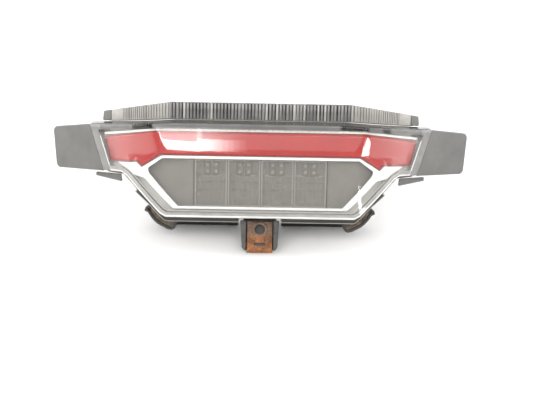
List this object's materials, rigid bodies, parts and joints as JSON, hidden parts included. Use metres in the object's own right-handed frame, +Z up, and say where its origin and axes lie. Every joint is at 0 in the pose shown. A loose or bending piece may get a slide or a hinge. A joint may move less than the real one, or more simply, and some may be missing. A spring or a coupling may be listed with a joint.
{
  "type": "motorcycle tail light",
  "caption": "Scooter rear lamp: clear swept lens over a red tail strip and a chrome-framed brake window, fluted upper lens, grey side wings, and a mounting tongue with a clip nut.",
  "frame": {"origin": "centre of the lamp's bounding box in X and Y, on the surface it stands on", "axes": "+X to the viewer's right along the lamp, the lens faces -Y and leans back 17 degrees, +Z up"},
  "size_m": [0.2694, 0.0784, 0.0855],
  "materials": {
    "clear_acrylic": "polished clear, slightly smoky",
    "smoked_acrylic": "polished, smoked",
    "grey_satin": "satin grey moulding",
    "black_abs": "moulded, fine grain",
    "chrome_trim": "vacuum-metallised, bright",
    "silver_trim": "satin metallised",
    "red_acrylic": "translucent red, polished",
    "light_guide": "milky, polished",
    "circuit_board": "solder mask",
    "led_package": "moulded",
    "rubber": "matt",
    "rusty_steel": "pressed sheet steel, rusted",
    "zinc_steel": "zinc plated",
    "tinned_brass": "tinned"
  },
  "bodies": {
    "root": {"brake_board": "circuit_board", "brake_led_1": "led_package", "brake_led_2": "led_package", "brake_led_3": "led_package", "brake_led_4": "led_package", "brake_led_5": "led_package", "brake_led_6": "led_package", "brake_led_7": "led_package", "brake_led_8": "led_package", "breather_cap": "rubber", "chrome_bezel": "chrome_trim", "clip_nut": "rusty_steel", "lens_gasket": "rubber", "lens_screw_lower_left": "zinc_steel", "lens_screw_lower_right": "zinc_steel", "lens_screw_upper_left": "zinc_steel", "lens_screw_upper_right": "zinc_steel", "light_guide": "light_guide", "mounting_stud_left": "zinc_steel", "mounting_stud_right": "zinc_steel", "mounting_tongue": "black_abs", "outer_lens": "clear_acrylic", "rear_housing": "black_abs", "reflector_cell_1": "chrome_trim", "reflector_cell_2": "chrome_trim", "reflector_cell_3": "chrome_trim", "reflector_cell_4": "chrome_trim", "reflector_surround": "silver_trim", "reflector_tray": "black_abs", "side_tab_left": "grey_satin", "side_tab_right": "grey_satin", "socket_pin_1": "tinned_brass", "socket_pin_2": "tinned_brass", "socket_pin_3": "tinned_brass", "socket_shroud": "black_abs", "stud_grommet_left": "rubber", "stud_grommet_right": "rubber", "tail_board": "circuit_board", "tail_led_1": "led_package", "tail_led_2": "led_package", "tail_led_3": "led_package", "tail_led_4": "led_package", "tail_led_5": "led_package", "tail_led_6": "led_package", "tail_strip_lens": "red_acrylic", "tongue_screw_left": "zinc_steel", "tongue_screw_right": "zinc_steel", "upper_baffle": "black_abs", "upper_block_left": "black_abs", "upper_block_right": "black_abs", "upper_board": "circuit_board", "upper_led_1": "led_package", "upper_led_2": "led_package", "upper_led_3": "led_package", "upper_led_4": "led_package", "upper_lens": "clear_acrylic", "window_pane": "smoked_acrylic", "wing_left": "grey_satin", "wing_right": "grey_satin"}
  },
  "joints": []
}
